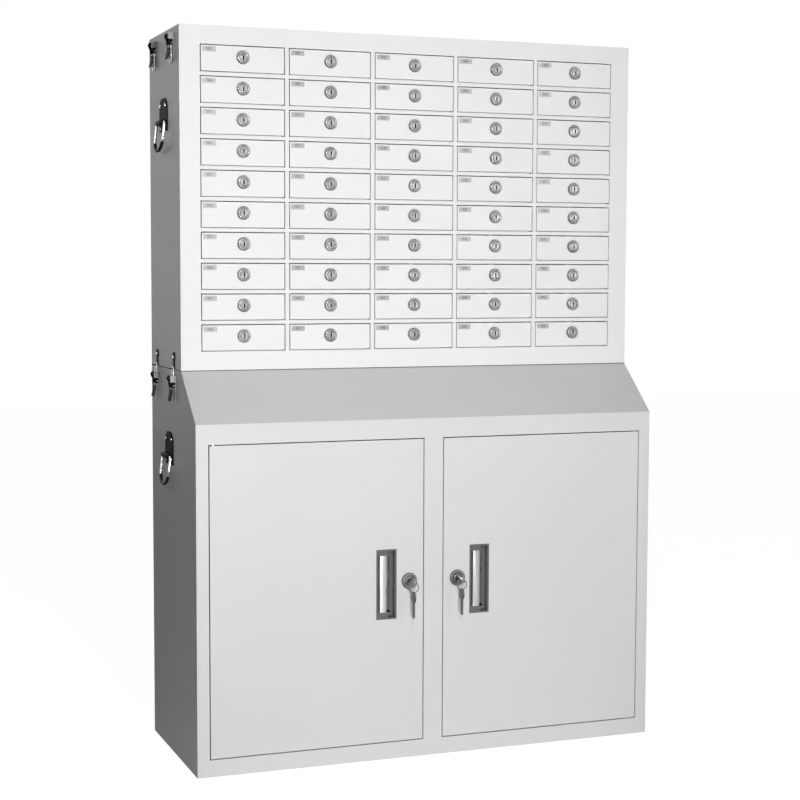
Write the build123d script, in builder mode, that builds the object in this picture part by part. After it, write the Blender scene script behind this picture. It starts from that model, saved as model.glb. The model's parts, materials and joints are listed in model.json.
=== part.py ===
"""Phone locker: a stack of small lockable drawers on a deeper base cabinet with two doors.

Sizes are millimetres. +X is to the right, +Y to the back, +Z up. The origin is the
centre of the base cabinet's footprint on the floor, so the back is at +Y and the two
doors, with their pulls and keys, face -Y.
"""
import math
import os

from build123d import *

# ---------------------------------------------------------------- overall sizes
WIDTH = 900.0
BASE_DEPTH = 345.0
BASE_HEIGHT = 720.0
KNEE_DROP = 88.0  # from the base's top down to where the upright front starts
UPPER_DEPTH = 240.0
UPPER_HEIGHT = 620.0
SHEET = 1.2  # carcass, frame and door sheet
THIN_SHEET = 1.0  # drawer housing and trays

# ---------------------------------------------------------------- base front and doors
BASE_STILE = 22.5
CENTRE_POST = 36.9
TOP_RAIL = 35.8
BOTTOM_RAIL = 30.75
FRAME_RETURN = 18.0  # depth of the frame's folded returns
DOOR_GAP = 2.0
DOOR_THICKNESS = 16.0
DOOR_STIFFENER = 44.0
PIVOT_RADIUS = 3.0
PIVOT_REACH = 12.0  # how far a pivot pin enters the door
PIVOT_INSET = 7.0  # from the door's outer edge to the pivot
PIVOT_BACK = 5.0  # from the door's front face to the pivot
PIVOT_BLOCK = 9.0
RUNNING_CLEARANCE = 0.05  # radial, between every pin and its hole
SHELF_HEIGHT = 345.0
SHELF_SETBACK = 45.0
SHELF_LIP = 15.0
SHELF_CLIP = (12.0, 30.0, 10.0)

# ---------------------------------------------------------------- door pull
PULL_WIDTH = 39.8
PULL_HEIGHT = 130.0
PULL_CENTRE_Z = 327.5
PULL_FROM_EDGE = 72.3  # door's free edge to the middle of the pull
PULL_DEPTH = 13.0
PULL_RIM = 3.4
PULL_RIM_PROUD = 1.0
PULL_END = 9.5
PULL_WALL = 1.2
BAR_WIDTH = 17.0
BAR_THICKNESS = 2.2
BAR_FROM_LEFT = 2.6

# ---------------------------------------------------------------- locks and keys
PLUG_RADIUS = 6.0
BARREL_RADIUS = 9.0
KEYWAY = (2.4, 8.6)
KEYWAY_DEPTH = 17.0
KEY_END_PLAY = 1.0  # left between a key's tip and the keyway's end
HEAD_CHAMFER = 0.25  # of how far a lock's head stands proud
FIT_GAP = 0.15  # round pieces fixed in their holes
DOOR_LOCK_Z = 332.0
DOOR_LOCK_FROM_EDGE = 27.5
DOOR_LOCK_HEAD_RADIUS = 15.0
DOOR_LOCK_PROUD = 4.0
DOOR_BARREL_LENGTH = 24.0
DOOR_CAM_LENGTH = 38.0
CAM_WIDTH = 12.0
CAM_THICKNESS = 2.5
KEY_THICKNESS = 2.2
KEY_BOW_RADIUS = 10.5
KEY_SHOULDER = 3.0  # from the plug's face to the bow's edge
KEY_BLADE = (28.0, 8.0)  # length, height
KEY_HOLE_RADIUS = 3.0
KEY_HOLE_WALL = 1.0
KEY_TILT = 45.0  # from upright, as the key stands in its lock
RING_RADIUS = 9.3
RING_WIRE = 0.8
RING_PLAY = 0.1  # left where a key rests on the ring

# ---------------------------------------------------------------- drawers
COLUMNS = 5
ROWS = 10
SLIDING_ROWS = 4  # the rows from the top whose drawers are pieces of their own
SIDE_MARGIN = 37.8  # from the box's side to the first column's opening
TOP_MARGIN = 33.0
BOTTOM_MARGIN = 35.6
POST_WIDTH = 7.6  # front strip between two columns
RAIL_HEIGHT = 6.6  # front strip between two rows
STRIP_DEPTH = 14.0
SLOT_GAP = 0.1
FRONT_GAP = 1.8
FRONT_DEPTH = 8.0
TRAY_SIDE_GAP = 3.4
TRAY_BEHIND = 16.8  # free space between a tray and the box's back
TRAY_HEIGHT = 38.0
TRAY_LIFT = 0.3
DRAWER_LOCK_UP = 27.5  # above the bottom of the drawer's opening
DRAWER_LOCK_HEAD_RADIUS = 12.0
DRAWER_LOCK_PROUD = 6.0
DRAWER_BARREL_LENGTH = 20.0
DRAWER_CAM_LENGTH = 24.0
NUMBER_PLATE = (25.0, 9.0)
NUMBER_PLATE_INSET = 2.5
PLATE_THICKNESS = 0.8

# ---------------------------------------------------------------- carry handles
UPPER_HANDLE = (54.0, 1174.5)  # Y and Z of the bail's axis
LOWER_HANDLE = (26.0, 558.5)
HANDLE_PLATE_WIDTH = 60.0
HANDLE_PLATE_ABOVE = 44.5
HANDLE_PLATE_BELOW = 16.0
HANDLE_PLATE_THICKNESS = 2.0
HANDLE_CORNER = 22.0
KNUCKLE_RADIUS = 5.0
KNUCKLE_LENGTH = 52.0
BAIL_WIRE = 2.5
BAIL_SPAN = 64.0
BAIL_DROP = 52.0
BAIL_STUB = 15.0
BAIL_TOP_BEND = 6.0
BAIL_BOTTOM_BEND = 27.0
BAIL_LEAN = 7.0  # degrees that the bail hangs out of the vertical, at rest
GRIP_WALL = 0.5
GRIP_RISE = 15.0  # from the wire's lowest middle up to the grip's ends
GRIP_BEND_PLAY = 0.1  # how much tighter the grip's bend is than the wire's
RIVET_RADIUS = 3.0
RIVET_HEIGHT = 1.4
RIVET_INSET = 10.0  # from the plate's side
RIVET_FROM_TOP = 13.5
RIVET_FROM_BOTTOM = 6.0

# ---------------------------------------------------------------- draw latches
LATCH_Y = (-15.0, 121.0)  # front and rear latch on each side
LATCH_BELOW_EDGE = 16.0  # from the box's top edge down to the lever's axis
LATCH_PLATE_WIDTH = 24.6
LATCH_PLATE_THICKNESS = 1.5
LATCH_PLATE_LENGTH = 46.0
LATCH_PLATE_ABOVE = 6.0
EAR_THICKNESS = 1.2
EAR_HEIGHT = 12.0
LEVER_AXIS_OUT = 7.5
LEVER_PIN_RADIUS = 1.5
LEVER_SHEET = 1.2
LEVER_GAP = 0.2  # lever's cheek to the ear
CHEEK_RADIUS = 4.8  # round the lever's axis
CHEEK_HALF_WIDTH = 1.8  # how far a cheek's outer edge lies beyond the axis and the web
CHEEK_RISE = 3.0  # above the loop's axis
CHEEK_BEHIND_LOOP = 1.8  # behind the loop's axis
CHEEK_DROP = 16.0
LOOP_AXIS_OUT = 3.5
LOOP_AXIS_DOWN = 12.0  # from the lever's axis to the loop's
LOOP_WIRE = 1.2
LOOP_SPAN = 14.0
LOOP_REACH = 34.0
LOOP_BEND = 2.4
LEVER_PROFILE = ((10.5, 3.5), (7.2, -24.0), (11.0, -41.0))  # outer face: out, up
NOTCH_HALF = 8.8  # half the width of the gap in the web that the loop swings through
NOTCH_LOW = 20.5  # from the lever's axis down to the gap's end
LEDGE_CLEAR = 1.3
LEDGE_THICKNESS = 1.5
LEDGE_OUT = 9.0
STRIKE_WIDTH = 10.0
STRIKE_HEAD_RADIUS = 9.0
STRIKE_LENGTH = 31.0

# ---------------------------------------------------------------- worked-out places
half_width = WIDTH / 2
front = -BASE_DEPTH / 2
back = BASE_DEPTH / 2
upper_front = back - UPPER_DEPTH
top = BASE_HEIGHT + UPPER_HEIGHT
inner_half = half_width - SHEET
knee_height = BASE_HEIGHT - KNEE_DROP
slope = KNEE_DROP / (upper_front - front)

door_top = knee_height - TOP_RAIL - DOOR_GAP
door_bottom = BOTTOM_RAIL + DOOR_GAP
door_free_edge = CENTRE_POST / 2 + DOOR_GAP
door_hinge_edge = half_width - BASE_STILE - DOOR_GAP
door_height = door_top - door_bottom
door_width = door_hinge_edge - door_free_edge
door_mid_x = (door_hinge_edge + door_free_edge) / 2
door_mid_z = (door_top + door_bottom) / 2
pivot_x = door_hinge_edge - PIVOT_INSET
pivot_y = front + PIVOT_BACK
lock_x = door_free_edge + DOOR_LOCK_FROM_EDGE
pull_x = door_free_edge + PULL_FROM_EDGE

opening_width = (WIDTH - 2 * SIDE_MARGIN - (COLUMNS - 1) * POST_WIDTH) / COLUMNS
openings_high = UPPER_HEIGHT - TOP_MARGIN - BOTTOM_MARGIN
opening_height = (openings_high - (ROWS - 1) * RAIL_HEIGHT) / ROWS
column_pitch = opening_width + POST_WIDTH
row_pitch = opening_height + RAIL_HEIGHT
grid_half = (COLUMNS * column_pitch - POST_WIDTH) / 2
grid_top = top - TOP_MARGIN
grid_bottom = grid_top - (ROWS * row_pitch - RAIL_HEIGHT)
housing_back = back - SHEET
housing_middle = (upper_front + housing_back) / 2
front_width = opening_width - 2 * FRONT_GAP
front_height = opening_height - 2 * FRONT_GAP
tray_width = opening_width - 2 * TRAY_SIDE_GAP
tray_length = UPPER_DEPTH - SHEET - FRONT_DEPTH - TRAY_BEHIND


def cell_x(column):
    """Middle of a column of drawers, columns counted from the left."""
    return -grid_half + opening_width / 2 + column * column_pitch


def cell_bottom(row):
    """Bottom edge of a row's openings, rows counted from the top."""
    return grid_top - opening_height - row * row_pitch


# ---------------------------------------------------------------- helpers
def block(x, y, z):
    """A box between two places on each axis, each given as (low, high)."""
    size = (x[1] - x[0], y[1] - y[0], z[1] - z[0])
    middle = ((x[0] + x[1]) / 2, (y[0] + y[1]) / 2, (z[0] + z[1]) / 2)
    with BuildPart() as piece:
        with Locations(middle):
            Box(*size)
    return piece.part


def sides(piece):
    """The same piece on the left and on the right side, from the one at +X."""
    return [mirror(piece, about=Plane.YZ), piece]


def upright_sheet(points, x_low, x_high):
    """A sheet cut to a Y-Z outline and standing across X."""
    with BuildPart() as piece:
        with BuildSketch(Plane.YZ.offset(x_low)):
            with BuildLine():
                Polyline(*points, close=True)
            make_face()
        extrude(amount=x_high - x_low)
    return piece.part


def along_y(x, y, z):
    """A plane whose normal runs to the back, with X to the right."""
    return Plane(origin=(x, y, z), x_dir=(1, 0, 0), z_dir=(0, 1, 0))


def rod(plane, radius, length):
    """A round bar that starts on a plane and follows its normal."""
    with BuildPart() as piece:
        with BuildSketch(plane):
            Circle(radius)
        extrude(amount=length)
    return piece.part


def write(name, solids):
    """Labels a piece, or a group of separate solids, and writes its STEP file."""
    flat = [s for item in solids for s in item.solids()]
    part = Compound(children=flat) if len(flat) > 1 else flat[0]
    part.label = name
    export_step(part, f"parts/{name}.step")


# ---------------------------------------------------------------- base cabinet
def base_shell():
    """Sides, back and bottom of the base, with the clips that carry the shelf."""
    side_outline = [
        (front + SHEET, 0),
        (back, 0),
        (back, BASE_HEIGHT),
        (upper_front, BASE_HEIGHT),
        (front + SHEET, knee_height + SHEET * slope),
    ]
    side = upright_sheet(side_outline, inner_half, half_width)
    back_panel = block(
        (-inner_half, inner_half), (back - SHEET, back), (SHEET, BASE_HEIGHT - SHEET)
    )
    bottom = block((-inner_half, inner_half), (front + SHEET, back), (0, SHEET))
    reach, length, height = SHELF_CLIP
    clips = []
    for middle in (front + SHELF_SETBACK + 2 * length, back - 2 * length):
        clip = block(
            (inner_half - reach, inner_half),
            (middle - length / 2, middle + length / 2),
            (SHELF_HEIGHT - SHEET - height, SHELF_HEIGHT - SHEET),
        )
        clips += sides(clip)
    return sides(side) + [back_panel, bottom] + clips


def folded_bar(x, z, returns):
    """A frame member: a front strip with folded returns on the named edges."""
    with BuildPart() as piece:
        add(block(x, (front, front + SHEET), z))
        behind = (front + SHEET, front + FRAME_RETURN)
        upright = (max(z[0], SHEET), z[1])  # a return stands on the bottom sheet
        if "left" in returns:
            add(block((x[0], x[0] + SHEET), behind, upright))
        if "right" in returns:
            add(block((x[1] - SHEET, x[1]), behind, upright))
        if "low" in returns:
            add(block(x, behind, (z[0], z[0] + SHEET)))
        if "high" in returns:
            add(block(x, behind, (z[1] - SHEET, z[1])))
    return piece.part


def base_front_frame():
    """Stiles, rails and centre post around the two door openings."""
    stile = folded_bar((half_width - BASE_STILE, half_width), (0, knee_height), ["left"])
    between = (-(half_width - BASE_STILE), half_width - BASE_STILE)
    top_rail = folded_bar(between, (knee_height - TOP_RAIL, knee_height), ["low"])
    with BuildPart() as bottom_rail:
        add(block(between, (front, front + SHEET), (0, BOTTOM_RAIL)))
        add(
            block(
                between,
                (front + SHEET, front + FRAME_RETURN),
                (BOTTOM_RAIL - SHEET, BOTTOM_RAIL),
            )
        )
    post = folded_bar(
        (-CENTRE_POST / 2, CENTRE_POST / 2),
        (BOTTOM_RAIL, knee_height - TOP_RAIL),
        ["left", "right"],
    )
    return sides(stile) + [top_rail, bottom_rail.part, post]


def base_sloped_top():
    """The sloping front shoulder and the flat deck under the drawer box."""
    slope_outline = [
        (front, knee_height),
        (upper_front, BASE_HEIGHT),
        (upper_front, BASE_HEIGHT - SHEET * math.hypot(1, slope)),
        (front + SHEET, knee_height),
    ]
    shoulder = upright_sheet(slope_outline, -inner_half, inner_half)
    deck = block(
        (-inner_half, inner_half), (upper_front, back), (BASE_HEIGHT - SHEET, BASE_HEIGHT)
    )
    return [shoulder, deck]


def base_shelf():
    """A loose shelf with a folded lip at the front and at the back."""
    y_low, y_high = front + SHELF_SETBACK, back - SHEET
    x = (-inner_half, inner_half)
    lip = (SHELF_HEIGHT - SHELF_LIP, SHELF_HEIGHT - SHEET)
    with BuildPart() as shelf:
        add(block(x, (y_low, y_high), (SHELF_HEIGHT - SHEET, SHELF_HEIGHT)))
        add(block(x, (y_low, y_low + SHEET), lip))
        add(block(x, (y_high - SHEET, y_high), lip))
    return [shelf.part]


def door_pivot_pins():
    """A pin above and one below each door, standing on the frame's returns."""
    low = rod(Plane((pivot_x, pivot_y, BOTTOM_RAIL)), PIVOT_RADIUS, DOOR_GAP + PIVOT_REACH)
    high_start = door_top - PIVOT_REACH
    high = rod(Plane((pivot_x, pivot_y, high_start)), PIVOT_RADIUS, DOOR_GAP + PIVOT_REACH)
    return sides(low) + sides(high)


# ---------------------------------------------------------------- doors
def door_panel():
    """The right-hand door: a folded pan, its stiffener and its two pivot blocks."""
    pull_hole_x = PULL_WIDTH / 2 - PULL_RIM / 2
    pull_hole_z = PULL_HEIGHT / 2 - PULL_RIM / 2
    pivot_hole = PIVOT_RADIUS + RUNNING_CLEARANCE
    with BuildPart() as pan:
        with Locations((door_mid_x, front + DOOR_THICKNESS / 2, door_mid_z)):
            Box(door_width, DOOR_THICKNESS, door_height)
        with Locations((door_mid_x, front + (DOOR_THICKNESS + SHEET) / 2, door_mid_z)):
            Box(
                door_width - 2 * SHEET,
                DOOR_THICKNESS - SHEET,
                door_height - 2 * SHEET,
                mode=Mode.SUBTRACT,
            )
        with BuildSketch(along_y(lock_x, front, DOOR_LOCK_Z)):
            Circle(BARREL_RADIUS + FIT_GAP)
        extrude(amount=SHEET, mode=Mode.SUBTRACT)
        with BuildSketch(along_y(pull_x, front, PULL_CENTRE_Z)):
            Rectangle(2 * pull_hole_x, 2 * pull_hole_z)
        extrude(amount=SHEET, mode=Mode.SUBTRACT)
        for end in (door_bottom, door_top - SHEET):
            with BuildSketch(Plane((pivot_x, pivot_y, end))):
                Circle(pivot_hole)
            extrude(amount=SHEET, mode=Mode.SUBTRACT)
    stiffener = block(
        (door_mid_x, door_mid_x + DOOR_STIFFENER),
        (front + SHEET, front + DOOR_THICKNESS),
        (door_bottom + SHEET, door_top - SHEET),
    )
    blocks = []
    for z in (door_bottom + SHEET, door_top - PIVOT_REACH):
        with BuildPart() as pivot_block:
            add(
                block(
                    (pivot_x - PIVOT_BLOCK / 2, door_hinge_edge - SHEET),
                    (front + SHEET, pivot_y + PIVOT_BLOCK / 2),
                    (z, z + PIVOT_REACH - SHEET),
                )
            )
            with BuildSketch(Plane((pivot_x, pivot_y, z))):
                Circle(pivot_hole)
            extrude(amount=PIVOT_REACH, mode=Mode.SUBTRACT)
        blocks.append(pivot_block.part)
    return [pan.part, stiffener] + blocks


def door_pull(side):
    """Recessed pull: a dark tray and a bright bar over its left part.

    The bar stands at the left in both doors, so side only sets the place.
    """
    x = side * pull_x
    rim_x, rim_z = PULL_WIDTH / 2, PULL_HEIGHT / 2
    cup_x, cup_z = rim_x - PULL_RIM, rim_z - PULL_RIM
    with BuildPart() as tray:
        with BuildSketch(along_y(x, front - PULL_RIM_PROUD, PULL_CENTRE_Z)):
            Rectangle(2 * rim_x, 2 * rim_z)
        extrude(amount=PULL_RIM_PROUD)
        with BuildSketch(along_y(x, front, PULL_CENTRE_Z)):
            Rectangle(2 * (cup_x + PULL_WALL), 2 * (cup_z + PULL_WALL))
        extrude(amount=PULL_DEPTH)
        with BuildSketch(along_y(x, front - PULL_RIM_PROUD, PULL_CENTRE_Z)):
            Rectangle(2 * cup_x, 2 * cup_z)
        extrude(amount=PULL_RIM_PROUD + PULL_DEPTH - PULL_WALL, mode=Mode.SUBTRACT)
        for end in (-1, 1):
            inner = end * (rim_z - PULL_END)
            outer = end * cup_z
            add(
                block(
                    (x - cup_x, x - cup_x + BAR_FROM_LEFT + BAR_WIDTH),
                    (front, front + PULL_DEPTH - PULL_WALL),
                    tuple(sorted((PULL_CENTRE_Z + inner, PULL_CENTRE_Z + outer))),
                )
            )
    bar_low = x - rim_x + PULL_RIM + BAR_FROM_LEFT
    bar_half = rim_z - PULL_END
    bar = block(
        (bar_low, bar_low + BAR_WIDTH),
        (front, front + BAR_THICKNESS),
        (PULL_CENTRE_Z - bar_half, PULL_CENTRE_Z + bar_half),
    )
    return [tray.part, bar]


# ---------------------------------------------------------------- locks
def lock_barrel(x, y, z, head_radius, proud, length):
    """A lock's fixed body: a head on the sheet and a barrel behind it."""
    with BuildPart() as barrel:
        with BuildSketch(along_y(x, y - proud, z)):
            Circle(head_radius)
        extrude(amount=proud)
        rim = barrel.edges().filter_by(GeomType.CIRCLE).sort_by(Axis.Y)[0]
        chamfer(rim, proud * HEAD_CHAMFER)
        with BuildSketch(along_y(x, y, z)):
            Circle(BARREL_RADIUS)
        extrude(amount=length)
        with BuildSketch(along_y(x, y - proud, z)):
            Circle(PLUG_RADIUS + RUNNING_CLEARANCE)
        extrude(amount=proud + length, mode=Mode.SUBTRACT)
    return barrel.part


def lock_plug(x, y, z, proud, length, cam_length, cam_angle, keyway_tilt):
    """The turning plug with its keyway, and the cam fixed on its inner end.

    cam_angle is measured from +X towards +Z.
    """
    with BuildPart() as plug:
        with BuildSketch(along_y(x, y - proud, z)):
            Circle(PLUG_RADIUS)
        extrude(amount=proud + length)
        with BuildSketch(along_y(x, y - proud, z)):
            Rectangle(*KEYWAY, rotation=keyway_tilt)
        extrude(amount=KEYWAY_DEPTH, mode=Mode.SUBTRACT)
    with BuildPart() as cam:
        with BuildSketch(along_y(x, y + length, z)):
            # this plane's own Y runs down, so the angle changes sign
            with Locations(Location((0, 0, 0), (0, 0, -cam_angle))):
                with Locations((cam_length / 2 - CAM_WIDTH / 4, 0)):
                    Rectangle(cam_length + CAM_WIDTH / 2, CAM_WIDTH)
        extrude(amount=CAM_THICKNESS)
        fillet(cam.edges().filter_by(Axis.Y), CAM_WIDTH / 4)
    return [plug.part, cam.part]


def flat_key(bow_centre_to_tip):
    """A key lying in the X-Y plane, its bow's centre at the origin, its blade to +Y."""
    hole_out = KEY_BOW_RADIUS - KEY_HOLE_WALL - KEY_HOLE_RADIUS
    with BuildPart() as key:
        with BuildSketch(Plane.XY.offset(-KEY_THICKNESS / 2)):
            Circle(KEY_BOW_RADIUS)
            with Locations((0, bow_centre_to_tip / 2)):
                Rectangle(KEY_BLADE[1], bow_centre_to_tip)
            with Locations((0, -hole_out)):
                Circle(KEY_HOLE_RADIUS, mode=Mode.SUBTRACT)
        extrude(amount=KEY_THICKNESS)
    return key.part


door_plug_face = front - DOOR_LOCK_PROUD
bow_y = door_plug_face - KEY_SHOULDER - KEY_BOW_RADIUS
hole_offset = KEY_BOW_RADIUS - KEY_HOLE_WALL - KEY_HOLE_RADIUS
ring_y = bow_y - hole_offset


def door_key():
    """The right-hand door's plug, cam and inserted key; the cam hangs down, unlocked."""
    pieces = lock_plug(
        lock_x,
        front,
        DOOR_LOCK_Z,
        DOOR_LOCK_PROUD,
        DOOR_BARREL_LENGTH,
        DOOR_CAM_LENGTH,
        -90,
        KEY_TILT,
    )
    tip = KEY_BOW_RADIUS + KEY_SHOULDER + KEYWAY_DEPTH - KEY_END_PLAY
    key = flat_key(tip).rotate(Axis.Y, 90 - KEY_TILT)
    key = key.translate((lock_x, bow_y, DOOR_LOCK_Z))
    return pieces + [key]


def key_ring():
    """The ring through the right-hand key's bow, and the spare key hanging from it."""
    with BuildPart() as ring:
        with BuildSketch(Plane.YZ) as wire:
            with Locations((0, RING_RADIUS)):
                Circle(RING_WIRE)
        revolve(axis=Axis.Y, revolution_arc=360)
    hoop = ring.part.translate((lock_x, ring_y, DOOR_LOCK_Z - RING_RADIUS))
    spare = flat_key(KEY_BLADE[0] + KEY_BOW_RADIUS)
    # upright in the Y-Z plane, hole at the top, blade down
    spare = spare.rotate(Axis.Y, 90).rotate(Axis.X, -90)
    # the rim of the key's hole rests on the ring's lowest point
    seat = KEY_HOLE_RADIUS - RING_WIRE - RING_PLAY
    hole_z = DOOR_LOCK_Z - 2 * RING_RADIUS - seat
    spare = spare.translate((lock_x, ring_y, hole_z - hole_offset))
    return [hoop, spare]


# ---------------------------------------------------------------- drawer box
def upper_shell():
    """Sides, back, top and bottom of the drawer box."""
    y = (upper_front + SHEET, back)
    side = block((inner_half, half_width), y, (BASE_HEIGHT, top))
    back_panel = block(
        (-inner_half, inner_half), (back - SHEET, back), (BASE_HEIGHT + SHEET, top - SHEET)
    )
    lid = block((-inner_half, inner_half), y, (top - SHEET, top))
    floor = block((-inner_half, inner_half), y, (BASE_HEIGHT, BASE_HEIGHT + SHEET))
    return sides(side) + [back_panel, lid, floor]


def upper_face_frame():
    """The plain strips around the drawers, in the front plane."""
    y = (upper_front, upper_front + SHEET)
    stile = block((grid_half, half_width), y, (BASE_HEIGHT, top))
    high = block((-grid_half, grid_half), y, (grid_top, top))
    low = block((-grid_half, grid_half), y, (BASE_HEIGHT, grid_bottom))
    return sides(stile) + [high, low]


def drawer_shelves():
    """A runner shelf under each row, slotted from the back, and a lid on the top row."""
    x = (-grid_half, grid_half)
    shelves = []
    for row in range(ROWS):
        level = cell_bottom(row)
        has_rail = row < ROWS - 1
        y_low = upper_front if has_rail else upper_front + SHEET
        with BuildPart() as shelf:
            add(block(x, (y_low, housing_back), (level - THIN_SHEET, level)))
            if has_rail:
                rail = (upper_front, upper_front + STRIP_DEPTH)
                add(block(x, rail, (level - RAIL_HEIGHT, level)))
                slot = THIN_SHEET + 2 * SLOT_GAP
                for column in range(1, COLUMNS):
                    post_x = cell_x(column) - column_pitch / 2
                    add(
                        block(
                            (post_x - slot / 2, post_x + slot / 2),
                            (housing_middle, housing_back),
                            (level - THIN_SHEET, level),
                        ),
                        mode=Mode.SUBTRACT,
                    )
        shelves.append(shelf.part)
    lid = block(x, (upper_front + SHEET, housing_back), (grid_top, grid_top + THIN_SHEET))
    return shelves + [lid]


def drawer_dividers():
    """Slotted uprights between the columns, and a plain one at each end."""
    uprights = []
    strip = (upper_front, upper_front + STRIP_DEPTH)
    for column in range(1, COLUMNS):
        post_x = cell_x(column) - column_pitch / 2
        sheet_x = (post_x - THIN_SHEET / 2, post_x + THIN_SHEET / 2)
        strip_x = (post_x - POST_WIDTH / 2, post_x + POST_WIDTH / 2)
        with BuildPart() as upright:
            add(block(sheet_x, (upper_front, housing_back), (grid_bottom, grid_top)))
            add(block(strip_x, strip, (grid_bottom, grid_top)))
            for row in range(ROWS - 1):
                level = cell_bottom(row)
                add(
                    block(
                        strip_x,
                        (strip[0], strip[1] + SLOT_GAP),
                        (level - RAIL_HEIGHT - SLOT_GAP, level + SLOT_GAP),
                    ),
                    mode=Mode.SUBTRACT,
                )
                add(
                    block(
                        sheet_x,
                        (strip[1], housing_middle + SLOT_GAP),
                        (level - THIN_SHEET - SLOT_GAP, level + SLOT_GAP),
                    ),
                    mode=Mode.SUBTRACT,
                )
        uprights.append(upright.part)
    end = block(
        (grid_half, grid_half + THIN_SHEET),
        (upper_front + SHEET, housing_back),
        (BASE_HEIGHT + SHEET, top - SHEET),
    )
    return uprights + sides(end)


# ---------------------------------------------------------------- drawers
def drawer_tray(x, y, z, lock_z):
    """An open tray of five sheets, spot-welded; the front one lets the barrel through."""
    half = tray_width / 2
    across, along = (x - half, x + half), (y, y + tray_length)
    walls = (z + THIN_SHEET, z + TRAY_HEIGHT)
    between = (across[0] + THIN_SHEET, across[1] - THIN_SHEET)
    with BuildPart() as near:
        add(block(between, (y, y + THIN_SHEET), walls))
        with BuildSketch(along_y(x, y, lock_z)):
            Circle(BARREL_RADIUS + FIT_GAP)
        extrude(amount=THIN_SHEET, mode=Mode.SUBTRACT)
    return [
        block(across, along, (z, z + THIN_SHEET)),
        block((across[0], between[0]), along, walls),
        block((between[1], across[1]), along, walls),
        near.part,
        block(between, (along[1] - THIN_SHEET, along[1]), walls),
    ]


def drawer(row, column, locked):
    """One drawer: front, tray, lock barrel, plug with cam, and number plate."""
    x = cell_x(column)
    bottom = cell_bottom(row)
    lock_z = bottom + DRAWER_LOCK_UP
    low, high = bottom + FRONT_GAP, bottom + FRONT_GAP + front_height
    middle = (low + high) / 2
    tray_front = upper_front + FRONT_DEPTH
    with BuildPart() as face:
        with Locations((x, upper_front + FRONT_DEPTH / 2, middle)):
            Box(front_width, FRONT_DEPTH, front_height)
        with Locations((x, upper_front + (FRONT_DEPTH + SHEET) / 2, middle)):
            Box(
                front_width - 2 * SHEET,
                FRONT_DEPTH - SHEET,
                front_height - 2 * SHEET,
                mode=Mode.SUBTRACT,
            )
        with BuildSketch(along_y(x, upper_front, lock_z)):
            Circle(BARREL_RADIUS + FIT_GAP)
        extrude(amount=SHEET, mode=Mode.SUBTRACT)
    tray = drawer_tray(x, tray_front, bottom + TRAY_LIFT, lock_z)
    barrel = lock_barrel(
        x,
        upper_front,
        lock_z,
        DRAWER_LOCK_HEAD_RADIUS,
        DRAWER_LOCK_PROUD,
        DRAWER_BARREL_LENGTH,
    )
    turning = lock_plug(
        x,
        upper_front,
        lock_z,
        DRAWER_LOCK_PROUD,
        DRAWER_BARREL_LENGTH,
        DRAWER_CAM_LENGTH,
        90 if locked else 0,
        0,
    )
    plate_width, plate_height = NUMBER_PLATE
    left = x - front_width / 2 + NUMBER_PLATE_INSET
    plate_top = high - NUMBER_PLATE_INSET
    plate = block(
        (left, left + plate_width),
        (upper_front - PLATE_THICKNESS, upper_front),
        (plate_top - plate_height, plate_top),
    )
    return [face.part] + tray, [barrel] + turning + [plate]


# ---------------------------------------------------------------- carry handles
def handle_plate(place):
    """The right side's plate, the knuckle let into it, and four rivets."""
    y, z = place
    face_x = half_width + HANDLE_PLATE_THICKNESS
    axis_x = face_x + KNUCKLE_RADIUS - HANDLE_PLATE_THICKNESS / 2
    high, low = z + HANDLE_PLATE_ABOVE, z - HANDLE_PLATE_BELOW
    half = HANDLE_PLATE_WIDTH / 2
    with BuildPart() as plate:
        add(block((half_width, face_x), (y - half, y + half), (low, high)))
        corners = plate.edges().filter_by(Axis.X).group_by(Axis.Z)[-1]
        fillet(corners, HANDLE_CORNER)
        with BuildSketch(along_y(axis_x, y - KNUCKLE_LENGTH / 2, z)):
            Circle(KNUCKLE_RADIUS)
        extrude(amount=KNUCKLE_LENGTH, mode=Mode.SUBTRACT)
    with BuildPart() as knuckle:
        with BuildSketch(along_y(axis_x, y - KNUCKLE_LENGTH / 2, z)):
            Circle(KNUCKLE_RADIUS)
            Circle(BAIL_WIRE + RUNNING_CLEARANCE, mode=Mode.SUBTRACT)
        extrude(amount=KNUCKLE_LENGTH)
    rivets = []
    for rivet_y in (y - half + RIVET_INSET, y + half - RIVET_INSET):
        for rivet_z in (high - RIVET_FROM_TOP, low + RIVET_FROM_BOTTOM):
            spot = Plane(origin=(face_x, rivet_y, rivet_z), z_dir=(1, 0, 0))
            rivets.append(rod(spot, RIVET_RADIUS, RIVET_HEIGHT))
    return [plate.part, knuckle.part] + rivets


bail_out = half_width + HANDLE_PLATE_THICKNESS / 2 + KNUCKLE_RADIUS


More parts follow.
